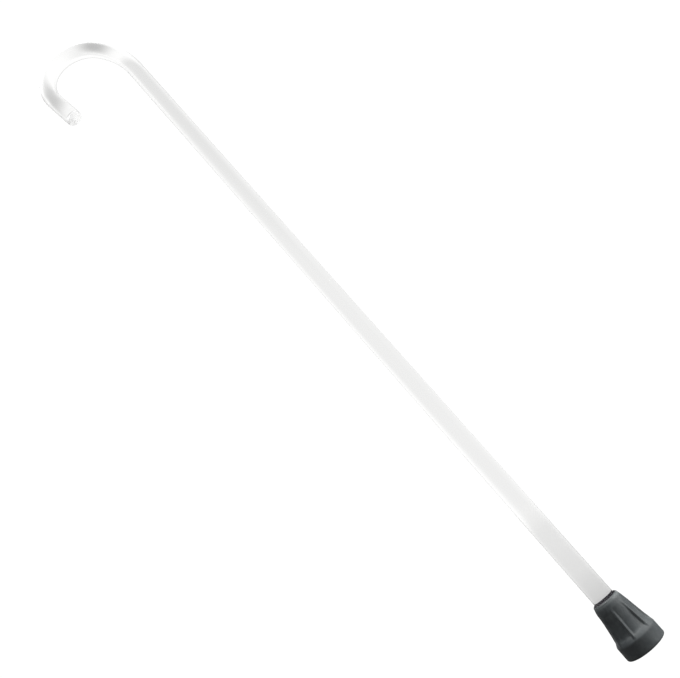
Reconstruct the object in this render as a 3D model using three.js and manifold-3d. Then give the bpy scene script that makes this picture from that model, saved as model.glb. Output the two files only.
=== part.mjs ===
// A clear acrylic walking cane: one round bar, heat-bent at the top into a crook handle, standing
// in a moulded rubber ferrule that has a steel washer in the bottom of its socket.
//
// Millimetres. +Z runs up the shaft, the origin is the centre of the ferrule's sole, where the cane
// meets the ground, and the crook hooks over towards +X in the XZ plane.

import * as THREE from 'three';
import { mergeVertices } from 'three/addons/utils/BufferGeometryUtils.js';
import Module from 'manifold-3d';

// The bar, along its centre line
const ROD_RADIUS = 10;
const BEND_START_Z = 828; // where the straight shaft ends
const SHOULDER_RADIUS = 101; // the wide first bend
const SHOULDER_ANGLE = 36.5;
const HOOK_RADIUS = 46.2; // the tight bend of the hook
const HOOK_ANGLE = 151.5;
const NOSE_LENGTH = 41; // the straight stretch at the free end
const FOOT_EDGE_RADIUS = 1; // the shaft's end, in the socket
const NOSE_EDGE_RADIUS = 3.5; // the polished free end

// The ferrule
const SOCKET_RADIUS = 10.3;
const SOCKET_FLOOR_Z = 12;
const MOUTH_Z = 47.1;
const MOUTH_RADIUS = 11.2; // the lead-in at the socket's mouth
const LEAD_IN_DEPTH = 2.6;
const BAND_RADIUS = 19.6;
const BAND_TOP_Z = 12.4;
const SOLE_EDGE_RADIUS = 1.3;
const RIB_COUNT = 7;
const RIB_WIDTH = 2.2;
const RIB_PHASE = 18.9; // degrees from +X to the first rib
const TREAD_DEPTH = 1.2;
const TREAD_PITCH = 3.2; // from one tread ring to the next
const TREAD_GROOVE = 1.4;
const SOLE_DISC_RADIUS = 5.6; // the flat disc in the middle of the tread

// The washer
const WASHER_RADIUS = 9.6;
const WASHER_HOLE_RADIUS = 2.75;
const WASHER_THICKNESS = 1.5;

const GAP = 0.3; // between pieces that touch
const ROD_SIDES = 24;
const ROUND_SIDES = 56;
const BEND_STEP = 4.5; // degrees of bend from one section to the next
const SHAFT_RINGS = 8; // sections along the straight shaft

const rodFootZ = SOCKET_FLOOR_Z + WASHER_THICKNESS + 2 * GAP;

const acrylic = new THREE.MeshStandardMaterial({
  color: 0xf2f6f5,
  roughness: 0.04,
  metalness: 0,
  transparent: true,
  opacity: 0.35,
});
const rubber = new THREE.MeshStandardMaterial({ color: 0x474b4c, roughness: 0.7, metalness: 0 });
const steel = new THREE.MeshStandardMaterial({ color: 0xa9abad, roughness: 0.35, metalness: 1 });

const wasm = await Module();
wasm.setup();

// Points of a circular arc in a half section, from one angle in degrees to another.
function arc(centreR, centreZ, radius, from, to, steps) {
  const points = [];
  for (let i = 0; i <= steps; i += 1) {
    const angle = THREE.MathUtils.degToRad(from + ((to - from) * i) / steps);
    const r = Math.max(0, centreR + radius * Math.cos(angle));
    points.push(new THREE.Vector2(r, centreZ + radius * Math.sin(angle)));
  }
  return points;
}

// Pairs of radius and height as half-section points.
function corners(...pairs) {
  return pairs.map(([r, z]) => new THREE.Vector2(r, z));
}

// A solid of revolution about +Z from a half section of (r, z) points, listed upwards on the outside.
function turned(points, sides) {
  const geometry = new THREE.LatheGeometry(points, sides);
  geometry.rotateX(Math.PI / 2);
  return geometry;
}

// The vertices shared, so that the geometry is one closed surface.
function closed(geometry) {
  const bare = geometry.clone();
  bare.deleteAttribute('normal');
  bare.deleteAttribute('uv');
  return mergeVertices(bare, 1e-4);
}

function toManifold(geometry) {
  const merged = closed(geometry);
  return new wasm.Manifold(new wasm.Mesh({
    numProp: 3,
    vertProperties: Float32Array.from(merged.attributes.position.array),
    triVerts: Uint32Array.from(merged.index.array),
  }));
}

function toGeometry(manifold) {
  const { vertProperties, triVerts } = manifold.getMesh();
  const geometry = new THREE.BufferGeometry();
  geometry.setAttribute('position', new THREE.BufferAttribute(vertProperties, 3));
  geometry.setIndex(new THREE.BufferAttribute(triVerts, 1));
  geometry.computeVertexNormals();
  return geometry;
}

// The bar's centre line: the straight shaft, the two bends and the straight nose, by length from
// the ground. It gives the point in the XZ plane and the heading, which is 0 when it points up.
const bends = [
  { radius: SHOULDER_RADIUS, angle: THREE.MathUtils.degToRad(SHOULDER_ANGLE) },
  { radius: HOOK_RADIUS, angle: THREE.MathUtils.degToRad(HOOK_ANGLE) },
];
const bendLength = bends.reduce((sum, bend) => sum + bend.radius * bend.angle, 0);
const barEnd = BEND_START_Z + bendLength + NOSE_LENGTH;

function centreLine(length) {
  let x = 0;
  let z = Math.min(length, BEND_START_Z);
  let heading = 0;
  let left = Math.max(0, length - BEND_START_Z);
  for (const { radius, angle } of bends) {
    const turn = Math.min(angle, left / radius);
    x += radius * (Math.cos(heading) - Math.cos(heading + turn));
    z += radius * (Math.sin(heading + turn) - Math.sin(heading));
    heading += turn;
    left = Math.max(0, left - turn * radius);
  }
  return { x: x + left * Math.sin(heading), z: z + left * Math.cos(heading), heading };
}

// The straight bar is turned first, with its sections closer where it will be bent, and then
// every point of it is carried onto the bent centre line, as the real bar is.
function crookRod() {
  const sections = [];
  const shaftStart = rodFootZ + FOOT_EDGE_RADIUS;
  for (let i = 1; i <= SHAFT_RINGS; i += 1) {
    sections.push(shaftStart + ((BEND_START_Z - shaftStart) * i) / SHAFT_RINGS);
  }
  let length = BEND_START_Z;
  for (const { radius, angle } of bends) {
    const steps = Math.ceil(THREE.MathUtils.radToDeg(angle) / BEND_STEP);
    for (let i = 1; i <= steps; i += 1) {
      sections.push(length + (radius * angle * i) / steps);
    }
    length += radius * angle;
  }
  const outline = [
    new THREE.Vector2(0, rodFootZ),
    ...arc(ROD_RADIUS - FOOT_EDGE_RADIUS, rodFootZ + FOOT_EDGE_RADIUS, FOOT_EDGE_RADIUS, -90, 0, 2),
    ...sections.map((s) => new THREE.Vector2(ROD_RADIUS, s)),
    ...arc(ROD_RADIUS - NOSE_EDGE_RADIUS, barEnd - NOSE_EDGE_RADIUS, NOSE_EDGE_RADIUS, 0, 90, 4),
    new THREE.Vector2(0, barEnd),
  ];
  const geometry = closed(turned(outline, ROD_SIDES));
  const position = geometry.attributes.position;
  for (let i = 0; i < position.count; i += 1) {
    const inward = position.getX(i);
    const { x, z, heading } = centreLine(position.getZ(i));
    position.setX(i, x + inward * Math.cos(heading));
    position.setZ(i, z - inward * Math.sin(heading));
  }
  geometry.computeVertexNormals();
  return geometry;
}

// Concentric tread rings in the sole, from the middle disc out to the rounded edge.
function treadOutline() {
  const points = [new THREE.Vector2(0, 0)];
  const rings = Math.floor((BAND_RADIUS - SOLE_EDGE_RADIUS - SOLE_DISC_RADIUS) / TREAD_PITCH);
  for (let i = 0; i < rings; i += 1) {
    const r = SOLE_DISC_RADIUS + i * TREAD_PITCH;
    points.push(...corners(
      [r, 0],
      [r + 0.2, TREAD_DEPTH],
      [r + TREAD_GROOVE - 0.2, TREAD_DEPTH],
      [r + TREAD_GROOVE, 0],
    ));
  }
  return points;
}

// The ferrule without its ribs: sole, base band, sloping shoulder, the fluted body's floor, the
// smooth collar and the socket.
function ferruleBody() {
  const outline = [
    ...treadOutline(),
    ...arc(BAND_RADIUS - SOLE_EDGE_RADIUS, SOLE_EDGE_RADIUS, SOLE_EDGE_RADIUS, -90, 0, 4),
    ...corners([BAND_RADIUS, BAND_TOP_Z], [19.4, 13.1], [18.7, 14.9], [18, 16.4]),
    ...corners([16.9, 18.2], [16, 20.4], [15.4, 23.2], [14.9, 26.4], [14.6, 30], [14.4, 34]),
    ...corners([14.15, 37.5], [14, 40], [13.7, 42], [13.2, 44], [12.7, 45.2]),
    ...arc(11.6, 45.9, 1, 0, 60, 3),
    ...arc(MOUTH_RADIUS + 0.45, MOUTH_Z - 0.45, 0.45, 70, 180, 3),
    ...corners([SOCKET_RADIUS, MOUTH_Z - LEAD_IN_DEPTH], [SOCKET_RADIUS, SOCKET_FLOOR_Z]),
    new THREE.Vector2(0, SOCKET_FLOOR_Z),
  ];
  return turned(outline, ROUND_SIDES);
}

// One upright rib as a plate in the XZ plane. Its outer edge carries on the collar's cone and
// flares into the shoulder.
function rib() {
  const outline = new THREE.Shape();
  outline.moveTo(12, 13);
  outline.lineTo(19.05, 14.2);
  outline.lineTo(18.75, 16.3);
  outline.quadraticCurveTo(17.9, 19, 17.45, 22);
  outline.lineTo(14.9, 36.2);
  outline.lineTo(13.1, 43.9);
  outline.lineTo(12, 43.9);
  outline.closePath();
  const geometry = new THREE.ExtrudeGeometry(outline, {
    depth: RIB_WIDTH,
    bevelEnabled: false,
    curveSegments: 4,
  });
  geometry.translate(0, 0, -RIB_WIDTH / 2);
  geometry.rotateX(Math.PI / 2);
  return geometry;
}

function rubberFerrule() {
  let solid = toManifold(ferruleBody());
  for (let i = 0; i < RIB_COUNT; i += 1) {
    const azimuth = THREE.MathUtils.degToRad(RIB_PHASE + (360 * i) / RIB_COUNT);
    solid = solid.add(toManifold(rib().rotateZ(azimuth)));
  }
  return toGeometry(solid);
}

// A plain washer that lies on the socket's floor, under the end of the bar.
function ferruleWasher() {
  const low = SOCKET_FLOOR_Z + GAP;
  const high = low + WASHER_THICKNESS;
  const chamfer = 0.3;
  return turned(corners(
    [WASHER_HOLE_RADIUS, low],
    [WASHER_RADIUS - chamfer, low],
    [WASHER_RADIUS, low + chamfer],
    [WASHER_RADIUS, high - chamfer],
    [WASHER_RADIUS - chamfer, high],
    [WASHER_HOLE_RADIUS, high],
    [WASHER_HOLE_RADIUS, low],
  ), ROUND_SIDES);
}

function part(name, geometry, material) {
  const mesh = new THREE.Mesh(geometry, material);
  mesh.name = name;
  return mesh;
}

const cane = new THREE.Group();
cane.name = 'acrylic_crook_cane';
cane.add(part('crook_rod', crookRod(), acrylic));
cane.add(part('rubber_ferrule', rubberFerrule(), rubber));
cane.add(part('ferrule_washer', ferruleWasher(), steel));

export default cane;
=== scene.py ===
"""A clear acrylic crook-handle walking cane on a rubber ferrule, dressed around its CAD frame.

Everything is in metres, +Z up the shaft, with the origin under the middle of the ferrule's sole
and the crook hooking over towards +X.
"""

import math

import bmesh
import bpy
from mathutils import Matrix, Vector


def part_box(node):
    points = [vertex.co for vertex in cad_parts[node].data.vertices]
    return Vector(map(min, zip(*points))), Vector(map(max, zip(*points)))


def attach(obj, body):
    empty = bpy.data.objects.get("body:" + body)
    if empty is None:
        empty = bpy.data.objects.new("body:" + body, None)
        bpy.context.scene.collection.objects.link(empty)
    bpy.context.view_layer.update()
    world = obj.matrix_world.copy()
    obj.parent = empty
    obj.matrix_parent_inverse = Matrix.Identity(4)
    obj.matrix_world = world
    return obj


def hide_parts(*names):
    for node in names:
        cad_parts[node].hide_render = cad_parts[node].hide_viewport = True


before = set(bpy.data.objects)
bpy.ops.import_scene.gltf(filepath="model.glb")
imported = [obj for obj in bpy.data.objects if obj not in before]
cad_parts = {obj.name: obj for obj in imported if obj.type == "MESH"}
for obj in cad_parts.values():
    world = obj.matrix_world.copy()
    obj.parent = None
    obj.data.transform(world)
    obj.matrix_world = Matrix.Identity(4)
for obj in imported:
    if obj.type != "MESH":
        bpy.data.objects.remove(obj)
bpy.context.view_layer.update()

MM = 0.001

# The bar's centre line, as the CAD bends it; a bend is its radius and its angle
BEND_START_Z = 828 * MM
BENDS = ((101 * MM, math.radians(36.5)), (46.2 * MM, math.radians(151.5)))
NOSE_LENGTH = 41 * MM
BAR_END = BEND_START_Z + sum(radius * angle for radius, angle in BENDS) + NOSE_LENGTH
FOOT_EDGE = 1 * MM
NOSE_EDGE = 3.5 * MM
BAR_SIDES = 128
SHAFT_RINGS = 60

# The ferrule, as the CAD has it
RIB_COUNT = 7
RIB_WIDTH = 2.2 * MM
RIB_PHASE = math.radians(18.9)
SOCKET_FLOOR_Z = 12 * MM
MOUTH_RADIUS = 11.2 * MM
LIP_RADIUS = 0.45 * MM
SOLE_EDGE = 1.3 * MM
TREAD_RINGS = 3
TREAD_DEPTH = 1.2 * MM
TREAD_PITCH = 3.2 * MM
TREAD_GROOVE = 1.4 * MM
SOLE_DISC_RADIUS = 5.6 * MM

# The ferrule's finer shape
GRIP_GAP = 0.06 * MM  # from the bar to the rubber that grips it
BORE_LENGTH = 32.5 * MM
SOCKET_FILLET = 0.8 * MM
RIB_BLEND = 1.9 * MM  # across each rounded flank of a rib
FLUTE_STEPS = 84
FLUTE_RADIUS = 16 * MM  # where the ribs' flanks are spaced out

# The washer
WASHER_HOLE_RADIUS = 2.75 * MM
WASHER_ROLL = 0.35 * MM
WASHER_BURR = 0.05 * MM
WASHER_SIDES = 96

# Where things are in the studio, in degrees about +Z
CAMERA_AZIMUTH = 78
SWEEP_AZIMUTH = CAMERA_AZIMUTH + 180
SIDE_BOX_AZIMUTH = 166

CAMERA_PLACE = (0.13597, 0.64178, 0.15088)
CAMERA_TURN = (115.066, 37.942, -173.625)  # degrees about X, Y and Z
CAMERA_LENS = 36.0
BACKGROUND_WHITE = 1.05  # just past white, so that noise doesn't show in it

# The cane is held up over the floor, so that its ferrule can be drawn off downwards
FLOOR_Z = -62 * MM
FLOOR_RADIUS = 30.0
FLOOR_GREY_REACH = 17.0  # how far out the floor's painted shade pales

# The card behind the crook, and its flags: middle (x, z), half width and half height, darkness
CARD_Y = -0.03
CARD_LEFT, CARD_RIGHT, CARD_LOW, CARD_HIGH = -0.04, 0.20, 0.80, 1.06
CARD_WHITE = 1.07
CARD_FLAGS = (
    ((0.020, 0.914), (0.028, 0.034), 0.40),
    ((0.018, 0.945), (0.055, 0.075), 0.17),
    ((0.101, 0.884), (0.042, 0.040), 0.44),
)

# Light that enters one end of the bar is thrown from side to side all the way to the other
BOUNCES = 400

rod_low, rod_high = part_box("crook_rod")
ferrule_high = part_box("rubber_ferrule")[1]
washer_low, washer_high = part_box("ferrule_washer")
ROD_RADIUS = (rod_high.y - rod_low.y) / 2
BAND_RADIUS = ferrule_high.y
MOUTH_Z = ferrule_high.z


# ---------------------------------------------------------------- helpers


def new_object(name, mesh, smooth=True):
    piece = bpy.data.objects.new(name, mesh)
    bpy.context.scene.collection.objects.link(piece)
    for polygon in mesh.polygons:
        polygon.use_smooth = smooth
    return piece


def rings_mesh(name, rings):
    """A closed skin over rings of equally many points, with a point in the middle of each end."""
    sides = len(rings[0])
    verts = [tuple(p) for ring in rings for p in ring]
    faces = []
    for i in range(len(rings) - 1):
        for j in range(sides):
            k = (j + 1) % sides
            low, high = i * sides, (i + 1) * sides
            faces.append((low + j, low + k, high + k, high + j))
    first_centre = len(verts)
    for ring in (rings[0], rings[-1]):
        verts.append(tuple(sum((Vector(p) for p in ring), Vector()) / sides))
    last = (len(rings) - 1) * sides
    faces += [((j + 1) % sides, j, first_centre) for j in range(sides)]
    faces += [(last + j, last + (j + 1) % sides, first_centre + 1) for j in range(sides)]
    mesh = bpy.data.meshes.new(name)
    mesh.from_pydata(verts, [], faces)
    mesh.validate()
    return mesh


def arc(centre_r, centre_z, radius, start, end, steps):
    """Points (r, z) of an arc in a half section, between two angles in degrees."""
    angles = [math.radians(start + (end - start) * i / steps) for i in range(steps + 1)]
    return [(centre_r + radius * math.cos(a), centre_z + radius * math.sin(a)) for a in angles]


def in_mm(*points):
    """Points given in millimetres, in metres."""
    return [tuple(value * MM for value in point) for point in points]


def smooth_step(x):
    x = min(1.0, max(0.0, x))
    return x * x * (3 - 2 * x)


def between(points, z):
    """The radius at height z on a smooth curve through (z, radius) points."""
    for i in range(len(points) - 1):
        (z0, r0), (z1, r1) = points[i], points[i + 1]
        if z <= z1 or i == len(points) - 2:
            break
    before = points[max(0, i - 1)]
    after = points[min(len(points) - 1, i + 2)]
    span = z1 - z0
    t = min(1.0, max(0.0, (z - z0) / span))
    slope0 = (r1 - before[1]) / (z1 - before[0]) * span
    slope1 = (after[1] - r0) / (after[0] - z0) * span
    return (
        r0 * (2 * t**3 - 3 * t**2 + 1)
        + slope0 * (t**3 - 2 * t**2 + t)
        + r1 * (3 * t**2 - 2 * t**3)
        + slope1 * (t**3 - t**2)
    )


# ---------------------------------------------------------------- the bar


def centre_line(length):
    """The centre line's point and heading at a length from the ground; heading 0 points up."""
    x, z, heading = 0.0, min(length, BEND_START_Z), 0.0
    left = max(0.0, length - BEND_START_Z)
    for radius, angle in BENDS:
        turn = min(angle, left / radius)
        x += radius * (math.cos(heading) - math.cos(heading + turn))
        z += radius * (math.sin(heading + turn) - math.sin(heading))
        heading += turn
        left = max(0.0, left - turn * radius)
    return x + left * math.sin(heading), z + left * math.cos(heading), heading


def rod_profile():
    """(radius, length from the ground) along the straight bar, closer together in the bends."""
    foot = rod_low.z
    start = foot + FOOT_EDGE
    profile = [(ROD_RADIUS * k / 4, foot) for k in (1, 2, 3)]
    profile += arc(ROD_RADIUS - FOOT_EDGE, start, FOOT_EDGE, -90, 0, 6)
    profile += [
        (ROD_RADIUS, start + (BEND_START_Z - start) * i / SHAFT_RINGS)
        for i in range(1, SHAFT_RINGS + 1)
    ]
    length = BEND_START_Z
    for radius, angle in BENDS:
        steps = math.ceil(math.degrees(angle))
        profile += [(ROD_RADIUS, length + radius * angle * i / steps) for i in range(1, steps + 1)]
        length += radius * angle
    profile += [(ROD_RADIUS, length + NOSE_LENGTH * k / 8) for k in range(1, 7)]
    profile += arc(ROD_RADIUS - NOSE_EDGE, BAR_END - NOSE_EDGE, NOSE_EDGE, 0, 90, 16)[1:]
    profile += [((ROD_RADIUS - NOSE_EDGE) * k / 4, BAR_END) for k in (3, 2, 1)]
    return profile


def make_rod():
    """The bar is turned straight, ring by ring, and every ring is carried onto the bent line."""
    profile = rod_profile()
    rings, straight = [], []
    for r, s in profile:
        x, z, heading = centre_line(s)
        ring = []
        for j in range(BAR_SIDES):
            a = 2 * math.pi * j / BAR_SIDES
            inward, y = r * math.cos(a), r * math.sin(a)
            ring.append((x + inward * math.cos(heading), y, z - inward * math.sin(heading)))
            straight.append((inward, y, s))
        rings.append(ring)
    mesh = rings_mesh("clear_rod", rings)
    straight += [(0, 0, profile[0][1]), (0, 0, profile[-1][1])]
    place = mesh.attributes.new("bar_place", "FLOAT_VECTOR", "POINT")
    for i, p in enumerate(straight):
        place.data[i].vector = p
    return new_object("clear_rod", mesh)


# ---------------------------------------------------------------- the ferrule

# (height, radius) up the floor of the flutes and up the outer edge of the ribs
FLUTE_FLOOR = in_mm(
    (16.4, 17.25),
    (17, 16.9),
    (17.8, 16.55),
    (18.8, 16.25),
    (20.4, 15.9),
    (23.2, 15.4),
    (26.4, 14.9),
    (30, 14.6),
    (34, 14.4),
    (37.5, 14.15),
    (40, 14),
    (42, 13.7),
)
RIB_EDGE = in_mm((16.4, 18.68), (19, 18.05), (22, 17.45), (29.1, 16.2), (36.2, 14.95), (42, 13.7))


def socket_and_collar():
    """(radius, height) from the socket's floor up over the rim and down the collar."""
    bore = ROD_RADIUS + GRIP_GAP
    outline = [(bore * k / 5, SOCKET_FLOOR_Z) for k in (1, 2, 3, 4)]
    outline += arc(bore - SOCKET_FILLET, SOCKET_FLOOR_Z + SOCKET_FILLET, SOCKET_FILLET, -90, 0, 5)
    outline += [(bore, SOCKET_FLOOR_Z + BORE_LENGTH * k / 10) for k in range(1, 11)]
    outline.append((bore + 0.25 * MM, MOUTH_Z - 2.3 * MM))
    outline.append((MOUTH_RADIUS - 0.12 * MM, MOUTH_Z - 0.9 * MM))
    outline += arc(MOUTH_RADIUS + LIP_RADIUS, MOUTH_Z - LIP_RADIUS, LIP_RADIUS, 180, 75, 7)
    outline += arc(MOUTH_RADIUS, 45.55 * MM, 1.5 * MM, 62, 12, 10)
    outline += in_mm((12.8, 45.2), (12.94, 44.8), (13.08, 44.35), (13.25, 43.8), (13.5, 42.9))
    return outline


def sole():
    """(radius, height) from the band's lower edge to the middle of the treaded sole."""
    outline = arc(BAND_RADIUS - SOLE_EDGE, SOLE_EDGE, SOLE_EDGE, 0, -90, 10)
    for i in reversed(range(TREAD_RINGS)):
        inner = SOLE_DISC_RADIUS + i * TREAD_PITCH
        outer = inner + TREAD_GROOVE
        outline += [(outer, 0), (outer - 0.08 * MM, 0.1 * MM)]
        outline += [(outer - 0.2 * MM, TREAD_DEPTH), (inner + 0.2 * MM, TREAD_DEPTH)]
        outline += [(inner + 0.08 * MM, 0.1 * MM), (inner, 0)]
    outline += [(SOLE_DISC_RADIUS * k / 4, 0) for k in (3, 2, 1)]
    return outline


def ferrule_profile():
    """(radius, height, rib radius) from the socket's floor over the rim and down to the sole."""
    rows = [(r, z, r) for r, z in socket_and_collar()]
    top, bottom = FLUTE_FLOOR[-1][0], FLUTE_FLOOR[0][0]
    for i in range(FLUTE_STEPS + 1):
        z = top + (bottom - top) * i / FLUTE_STEPS
        rows.append((between(FLUTE_FLOOR, z), z, between(RIB_EDGE, z)))
    rows += in_mm((17.5, 16.05, 18.75), (18.0, 15.35, 18.85), (18.6, 14.4, 19.0))
    rows += in_mm((19.15, 13.35, 19.25), (19.45, 12.65, 19.48))
    rows += [(BAND_RADIUS, z * MM, BAND_RADIUS) for z in (12.2, 11, 9, 7, 5, 3.2, 2)]
    rows += [(r, z, r) for r, z in sole()]
    return rows


def ferrule_azimuths():
    """Azimuths that crowd together on the flanks of each rib, with the distance from its middle."""
    flank = [0.2, 0.42, 0.56, 0.66, 0.74, 0.81, 0.88, 0.95, 1.02, 1.1, 1.2, 1.32, 1.48, 1.7]
    half = [0.0] + [t * RIB_WIDTH / 2 / FLUTE_RADIUS for t in flank]
    pitch = 2 * math.pi / RIB_COUNT
    rest = 14
    half += [half[-1] + (pitch / 2 - half[-1]) * (i + 1) / rest for i in range(rest)]
    found = []
    for rib in range(RIB_COUNT):
        middle = RIB_PHASE + rib * pitch
        found += [(middle + offset, offset) for offset in half]
        found += [(middle + pitch - offset, offset) for offset in reversed(half[1:-1])]
    return found


def rib_share(offset, radius):
    """1 on a rib's crest, 0 on the flute's floor, with a rounded edge and a fillet between."""
    across = abs(offset) * radius
    return 1 - smooth_step((across - RIB_WIDTH / 2 + RIB_BLEND / 2) / RIB_BLEND)


def make_ferrule():
    rows, azimuths = ferrule_profile(), ferrule_azimuths()
    rings = []
    for r, z, rib in rows:
        ring = []
        for azimuth, offset in azimuths:
            share = rib_share(offset, rib) if rib != r else 0
            radius = r + (rib - r) * share
            ring.append((radius * math.cos(azimuth), radius * math.sin(azimuth), z))
        rings.append(ring)
    mesh = rings_mesh("ferrule_moulding", rings)
    mesh.flip_normals()
    return new_object("ferrule_moulding", mesh)


# ---------------------------------------------------------------- the washer


def make_washer():
    """A stamped washer: rolled over on the punch side and sharp, with a slight burr, below."""
    outer, inner = washer_high.x, WASHER_HOLE_RADIUS
    low, high = washer_low.z, washer_high.z
    section = [(inner + WASHER_BURR, low), (outer - WASHER_BURR, low), (outer, low + WASHER_BURR)]
    section += arc(outer - WASHER_ROLL, high - WASHER_ROLL, WASHER_ROLL, 0, 90, 6)
    section += arc(inner + WASHER_ROLL, high - WASHER_ROLL, WASHER_ROLL, 90, 180, 6)
    section += [(inner, low + WASHER_BURR)]
    verts, faces = [], []
    for j in range(WASHER_SIDES):
        a = 2 * math.pi * j / WASHER_SIDES
        verts += [(r * math.cos(a), r * math.sin(a), z) for r, z in section]
    count = len(section)
    for j in range(WASHER_SIDES):
        here, there = j * count, ((j + 1) % WASHER_SIDES) * count
        for i in range(count):
            k = (i + 1) % count
            faces.append((here + i, there + i, there + k, here + k))
    mesh = bpy.data.meshes.new("stamped_washer")
    mesh.from_pydata(verts, [], faces)
    return new_object("stamped_washer", mesh)


# ---------------------------------------------------------------- nodes


def new_material(name):
    material = bpy.data.materials.new(name)
    material.use_nodes = True
    tree = material.node_tree
    return material, tree, tree.nodes["Principled BSDF"]


def feed(tree, socket, value):
    """Another node's output is linked to the socket, and anything else is its own constant."""
    if isinstance(value, bpy.types.NodeSocket):
        tree.links.new(value, socket)
    else:
        socket.default_value = value


def add_node(tree, kind, inputs, output, operation=None):
    """A node with its inputs fed, by name or by number. It gives one of its outputs."""
    node = tree.nodes.new(kind)
    if operation is not None:
        node.operation = operation
    for key, value in inputs.items():
        feed(tree, node.inputs[key], value)
    return node.outputs[output]


def math_node(tree, operation, first, second):
    return add_node(tree, "ShaderNodeMath", {0: first, 1: second}, "Value", operation)


def added(tree, values):
    total = values[0]
    for value in values[1:]:
        total = math_node(tree, "ADD", total, value)
    return total


def length_of(tree, vector):
    return add_node(tree, "ShaderNodeVectorMath", {0: vector}, "Value", "LENGTH")


def dot_product(tree, vector, constant):
    inputs = {0: vector, 1: constant}
    return add_node(tree, "ShaderNodeVectorMath", inputs, "Value", "DOT_PRODUCT")


def object_place(tree):
    return tree.nodes.new("ShaderNodeTexCoord").outputs["Object"]


def height_of(tree, place):
    return add_node(tree, "ShaderNodeSeparateXYZ", {"Vector": place}, "Z")


def ray_is(tree, kind):
    return tree.nodes.new("ShaderNodeLightPath").outputs[f"Is {kind} Ray"]


def noise_at(tree, vector, scale, detail, roughness=0.5):
    inputs = {"Scale": scale, "Detail": detail, "Roughness": roughness, "Vector": vector}
    return add_node(tree, "ShaderNodeTexNoise", inputs, "Fac")


def map_range(tree, value, low, high, to_low, to_high, smooth=False):
    node = tree.nodes.new("ShaderNodeMapRange")
    if smooth:
        node.interpolation_type = "SMOOTHSTEP"
    node.inputs["From Min"].default_value = low
    node.inputs["From Max"].default_value = high
    node.inputs["To Min"].default_value = to_low
    node.inputs["To Max"].default_value = to_high
    tree.links.new(value, node.inputs["Value"])
    return node.outputs["Result"]


def scaled(tree, vector, scale, shift=(0, 0, 0)):
    inputs = {"Scale": scale, "Location": shift, "Vector": vector}
    return add_node(tree, "ShaderNodeMapping", inputs, "Vector")


def bump(tree, height, distance, strength, after=None):
    inputs = {"Strength": strength, "Distance": distance, "Height": height}
    if after is not None:
        inputs["Normal"] = after
    return add_node(tree, "ShaderNodeBump", inputs, "Normal")


def colour_ramp(tree, value, *stops):
    """A ramp through (position, colour) stops."""
    node = tree.nodes.new("ShaderNodeValToRGB")
    elements = node.color_ramp.elements
    while len(elements) < len(stops):
        elements.new(0.5)
    for element, (position, colour) in zip(elements, stops):
        element.position = position
        element.color = (*colour, 1)
    tree.links.new(value, node.inputs["Fac"])
    return node.outputs["Color"]


def colour_mix(tree, factor, first, second):
    node = tree.nodes.new("ShaderNodeMix")
    node.data_type = "RGBA"
    tree.links.new(factor, node.inputs["Factor"])
    tree.links.new(first, node.inputs["A"])
    node.inputs["B"].default_value = (*second, 1)
    return node.outputs["Result"]


def shader_mix(tree, factor, first, second):
    return add_node(tree, "ShaderNodeMixShader", {"Fac": factor, 1: first, 2: second}, "Shader")


def transparent(tree):
    return tree.nodes.new("ShaderNodeBsdfTransparent").outputs["BSDF"]


# ---------------------------------------------------------------- materials


def clear_acrylic():
    """Polished clear plastic, with faint drawing waves along the bar and hairline scratches."""
    material, tree, shader = new_material("clear_acrylic")
    attribute = tree.nodes.new("ShaderNodeAttribute")
    attribute.attribute_name = "bar_place"
    place = attribute.outputs["Vector"]
    waves = noise_at(tree, scaled(tree, place, (1, 1, 0.05)), 110, 2)
    scratches = noise_at(tree, scaled(tree, place, (1, 1, 0.1)), 1500, 2, 0.7)
    scuffs = noise_at(tree, place, 60, 4, 0.6)
    worn = map_range(tree, scuffs, 0.45, 0.75, 0.004, 0.03)
    # the free end is sawn off and only rubbed smooth
    along = height_of(tree, place)
    ended = map_range(tree, along, BAR_END - 0.9 * MM, BAR_END - 0.1 * MM, 0.0, 0.2)
    feed(tree, shader.inputs["Roughness"], added(tree, [worn, ended]))
    first = bump(tree, waves, 0.01 * MM, 0.4)
    feed(tree, shader.inputs["Normal"], bump(tree, scratches, 0.0006 * MM, 0.3, first))
    tint = noise_at(tree, place, 14, 2)
    colour = colour_ramp(tree, tint, (0, (0.985, 0.985, 0.978)), (1, (0.999, 0.999, 0.996)))
    feed(tree, shader.inputs["Base Color"], colour)
    shader.inputs["IOR"].default_value = 1.49
    shader.inputs["Transmission Weight"].default_value = 1.0
    return material


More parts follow.
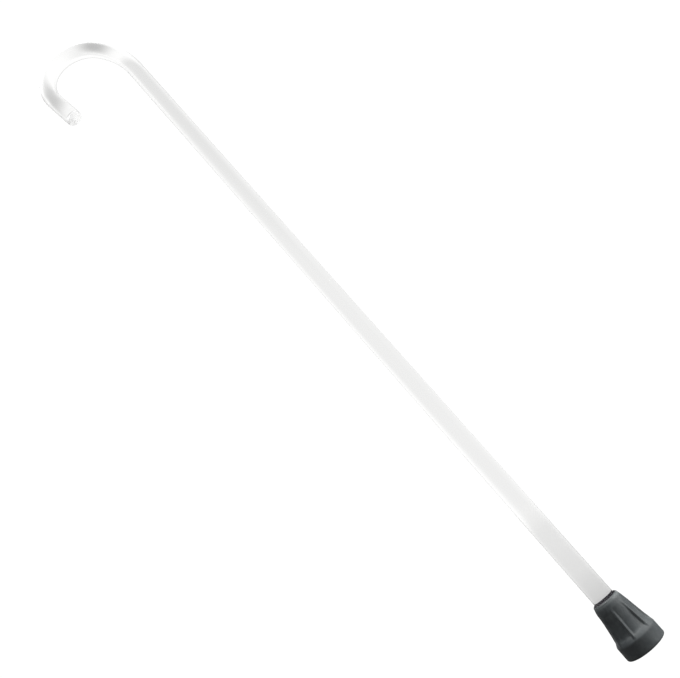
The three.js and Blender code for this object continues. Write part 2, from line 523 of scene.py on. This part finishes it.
def grey_rubber():
    """Moulded rubber: a fine mould grain, blotchy bloom, paler worn edges, painted light paling the
    collar towards its top, and painted shade darkening the socket.
    """
    material, tree, shader = new_material("grey_rubber")
    place = object_place(tree)
    height = height_of(tree, place)
    grain = noise_at(tree, place, 2600, 3, 0.6)
    bloom = noise_at(tree, place, 130, 5, 0.6)
    pits = add_node(tree, "ShaderNodeTexVoronoi", {"Scale": 900, "Vector": place}, "Distance")
    plain = colour_ramp(tree, bloom, (0.3, (0.050, 0.056, 0.059)), (0.75, (0.078, 0.086, 0.088)))
    pointiness = tree.nodes.new("ShaderNodeNewGeometry").outputs["Pointiness"]
    edges = map_range(tree, pointiness, 0.52, 0.60, 0.0, 0.2)
    # painted light: the collar is painted paler towards its top, where light from above falls, but
    # not the top of its lip; the edges are paler by wear
    painted_collar_light = map_range(tree, height, 43 * MM, 46 * MM, 0.0, 0.7, smooth=True)
    crest = map_range(tree, height, 46.0 * MM, 46.7 * MM, 0.0, -0.7)
    # this paler colour is edge wear together with painted light on the collar
    worn = colour_mix(tree, added(tree, [edges, painted_collar_light, crest]), plain, (0.15, 0.165, 0.165))
    # painted shade: the socket is painted nearly black, as the shade in its recess
    radius = length_of(tree, scaled(tree, place, (1, 1, 0)))
    inner = map_range(tree, radius, 11.3 * MM, 11.8 * MM, 1.0, 0.0)
    upper = map_range(tree, height, 11 * MM, 12 * MM, 0.0, 1.0)
    painted_socket_shade = math_node(tree, "MULTIPLY", inner, upper)
    colour = colour_mix(tree, painted_socket_shade, worn, (0.014, 0.012, 0.018))
    feed(tree, shader.inputs["Base Color"], colour)
    feed(tree, shader.inputs["Roughness"], map_range(tree, bloom, 0.3, 0.7, 0.36, 0.46))
    first = bump(tree, pits, 0.03 * MM, 0.35)
    feed(tree, shader.inputs["Normal"], bump(tree, grain, 0.03 * MM, 0.5, first))
    shader.inputs["Specular IOR Level"].default_value = 0.35
    return material


def washer_steel():
    """Zinc-plated steel with a spangled, slightly scuffed surface."""
    material, tree, shader = new_material("washer_steel")
    spangle = noise_at(tree, object_place(tree), 700, 4, 0.6)
    colour = colour_ramp(tree, spangle, (0, (0.62, 0.63, 0.64)), (1, (0.80, 0.80, 0.78)))
    feed(tree, shader.inputs["Base Color"], colour)
    shader.inputs["Metallic"].default_value = 1.0
    feed(tree, shader.inputs["Roughness"], map_range(tree, spangle, 0.3, 0.7, 0.25, 0.5))
    feed(tree, shader.inputs["Normal"], bump(tree, spangle, 0.02 * MM, 0.4))
    return material


def floor_glow(tree, place):
    """What the clear bar refracts of the floor: a grey glow with painted shade, darkest by the cane
    and whiter away to the sides, which runs without a seam, far off, into the sweep, which is the
    world."""
    far = length_of(tree, place)
    # painted shade: the floor's glowing grey is darkest by the cane and pales outwards
    painted_shade_greys = ((0.038, 0.61), (0.053, 0.695), (0.071, 0.765), (0.127, 0.80), (0.343, 0.83), (1, 0.9))
    stops = [(position, (grey, grey, grey)) for position, grey in painted_shade_greys]
    colour = colour_ramp(tree, map_range(tree, far, 0, FLOOR_GREY_REACH, 0, 1), *stops)
    heading = add_node(tree, "ShaderNodeVectorMath", {0: place}, "Vector", "NORMALIZE")
    ahead = dot_product(tree, heading, towards(SWEEP_AZIMUTH, 0))
    low, high = math.cos(math.radians(60)), math.cos(math.radians(20))
    sides = map_range(tree, ahead, low, high, 1.2, 1.0, smooth=True)
    inputs = {"Color": colour, "Strength": sides}
    glow = add_node(tree, "ShaderNodeEmission", inputs, "Emission")
    nearness = math_node(tree, "DIVIDE", 1.0, far)
    gone = map_range(tree, nearness, 0.02, 0.28, 1.0, 0.0, smooth=True)
    return shader_mix(tree, gone, glow, transparent(tree))


def floor_paper():
    """Studio paper with a hint of tooth. The camera sees it plain white, the clear bar refracts
    it grey, and it throws next to nothing back at the rubber."""
    material, tree, shader = new_material("floor_paper")
    place = object_place(tree)
    tooth = noise_at(tree, place, 900, 3, 0.6)
    shade = colour_ramp(tree, tooth, (0, (0.04, 0.04, 0.04)), (1, (0.06, 0.06, 0.06)))
    feed(tree, shader.inputs["Base Color"], shade)
    shader.inputs["Roughness"].default_value = 0.9
    glow = floor_glow(tree, place)
    white = add_node(tree, "ShaderNodeEmission", {"Strength": BACKGROUND_WHITE}, "Emission")
    through = shader_mix(tree, ray_is(tree, "Transmission"), shader.outputs["BSDF"], glow)
    seen = shader_mix(tree, ray_is(tree, "Camera"), through, white)
    tree.links.new(seen, tree.nodes["Material Output"].inputs["Surface"])
    return material


# ---------------------------------------------------------------- the studio


def towards(azimuth, elevation):
    a, e = math.radians(azimuth), math.radians(elevation)
    return Vector((math.cos(a) * math.cos(e), math.sin(a) * math.cos(e), math.sin(e)))


def make_floor():
    mesh = bpy.data.meshes.new("studio_floor")
    net = bmesh.new()
    bmesh.ops.create_circle(net, cap_ends=True, radius=FLOOR_RADIUS, segments=96)
    net.to_mesh(mesh)
    net.free()
    floor = new_object("studio_floor", mesh, smooth=False)
    floor.location.z = FLOOR_Z
    mesh.materials.append(floor_paper())


def make_card(name, corners, shade):
    """A studio card that is there only for the rays that come through the clear bar. Its shade
    says how white and how solid it is."""
    mesh = bpy.data.meshes.new(name)
    mesh.from_pydata(corners, [], [tuple(range(len(corners)))])
    card = new_object(name, mesh, smooth=False)
    material, tree, shader = new_material(name)
    tree.nodes.remove(shader)
    whiteness, solid = shade(tree, object_place(tree))
    glow = add_node(tree, "ShaderNodeEmission", {"Strength": whiteness}, "Emission")
    amount = math_node(tree, "MULTIPLY", solid, ray_is(tree, "Transmission"))
    mix = shader_mix(tree, amount, transparent(tree), glow)
    tree.links.new(mix, tree.nodes["Material Output"].inputs["Surface"])
    mesh.materials.append(material)
    card.visible_shadow = False


def plain_shade(tree, place):
    """White and solid all over."""
    return CARD_WHITE, 1.0


def flagged_shade(tree, place):
    """White with soft grey flags, and fading out towards the shaft, which keeps the sweep's grey."""
    shades = [CARD_WHITE]
    for (x, z), (half_width, half_height), depth in CARD_FLAGS:
        scale, shift = (1 / half_width, 0, 1 / half_height), (-x / half_width, 0, -z / half_height)
        off = length_of(tree, scaled(tree, place, scale, shift))
        shades.append(map_range(tree, off, 0.1, 1, -depth, 0, smooth=True))
    slope = dot_product(tree, place, (1, 0, 1))
    return added(tree, shades), map_range(tree, slope, 0.856, 0.882, 0, 1, smooth=True)


def make_foot_card():
    """Under the bar's foot, where it lights what the bar carries along from end to end."""
    z = rod_low.z - 0.15 * MM
    turns = [2 * math.pi * k / 48 for k in range(48)]
    r = ROD_RADIUS - 0.1 * MM
    make_card("foot_card", [(r * math.cos(a), r * math.sin(a), z) for a in turns], plain_shade)


def make_crook_card():
    """Close behind the crook."""
    corners = [(CARD_LEFT, CARD_Y, CARD_LOW), (CARD_RIGHT, CARD_Y, CARD_LOW)]
    corners += [(CARD_RIGHT, CARD_Y, CARD_HIGH), (CARD_LEFT, CARD_Y, CARD_HIGH)]
    make_card("crook_card", corners, flagged_shade)


def make_camera():
    """Level with the lower part of the shaft and looking up it, with the camera rolled over."""
    data = bpy.data.cameras.new("camera")
    data.lens, data.sensor_width = CAMERA_LENS, 36.0
    data.clip_start, data.clip_end = 0.01, 100.0
    camera = bpy.data.objects.new("camera", data)
    bpy.context.scene.collection.objects.link(camera)
    camera.location = CAMERA_PLACE
    camera.rotation_euler = [math.radians(a) for a in CAMERA_TURN]
    bpy.context.scene.camera = camera


def lobe(tree, direction, middle, inner, outer, strength):
    """A round soft light in the surroundings: full within one angle of its middle, none beyond
    another. A negative one is a soft grey patch."""
    low, high = math.cos(math.radians(outer)), math.cos(math.radians(inner))
    aim = dot_product(tree, direction, middle)
    return map_range(tree, aim, low, high, 0.0, strength, smooth=True)


def make_world():
    """White to the camera. What lights the cane is a white sweep behind it, a big soft box to the
    right and another overhead, with a dim room at the camera's back."""
    world = bpy.data.worlds.new("studio")
    bpy.context.scene.world = world
    world.use_nodes = True
    tree = world.node_tree
    tree.nodes.clear()
    direction = tree.nodes.new("ShaderNodeTexCoord").outputs["Generated"]

    def background(base, *lobes):
        strength = added(tree, [base, *(lobe(tree, direction, *each) for each in lobes)])
        inputs = {"Color": (1, 1, 1, 1), "Strength": strength}
        return add_node(tree, "ShaderNodeBackground", inputs, "Background")

    # what the clear bar refracts: the white sweep behind it, a shade greyer in the middle
    through = background(
        0.92,
        (towards(SWEEP_AZIMUTH, 10), 70, 110, 0.23),
        (towards(SWEEP_AZIMUTH + 9, 24), 24, 62, -0.25),
        (towards(SWEEP_AZIMUTH + 9, 58), 6, 36, -0.09),
    )
    # what the surfaces reflect
    shine = background(
        0.04,
        (towards(SWEEP_AZIMUTH, 15), 30, 55, 0.42),
        (towards(SIDE_BOX_AZIMUTH, 20), 10, 45, 0.5),
        (towards(CAMERA_AZIMUTH, 88), 10, 44, 3.6),
    )
    # what falls on the rubber
    lit = background(
        0.02,
        (towards(SWEEP_AZIMUTH, 15), 30, 75, 0.05),
        (towards(SIDE_BOX_AZIMUTH - 2, 22), 5, 38, 9.0),
        (towards(CAMERA_AZIMUTH, 88), 5, 30, 12.5),
    )
    solid = shader_mix(tree, ray_is(tree, "Glossy"), lit, shine)
    clear = shader_mix(tree, ray_is(tree, "Transmission"), solid, through)
    seen = shader_mix(tree, ray_is(tree, "Camera"), clear, background(BACKGROUND_WHITE))
    output = tree.nodes.new("ShaderNodeOutputWorld")
    tree.links.new(seen, output.inputs["Surface"])


scene = bpy.context.scene
scene.view_settings.view_transform = "Standard"
scene.cycles.max_bounces = BOUNCES
scene.cycles.transmission_bounces = BOUNCES
scene.cycles.glossy_bounces = BOUNCES
make_camera()
make_world()
make_floor()
make_crook_card()
make_foot_card()

rod = make_rod()
rod.data.materials.append(clear_acrylic())
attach(rod, "cane")
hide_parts("crook_rod")

ferrule = make_ferrule()
ferrule.data.materials.append(grey_rubber())
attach(ferrule, "ferrule")
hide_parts("rubber_ferrule")

washer = make_washer()
washer.data.materials.append(washer_steel())
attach(washer, "ferrule")
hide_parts("ferrule_washer")
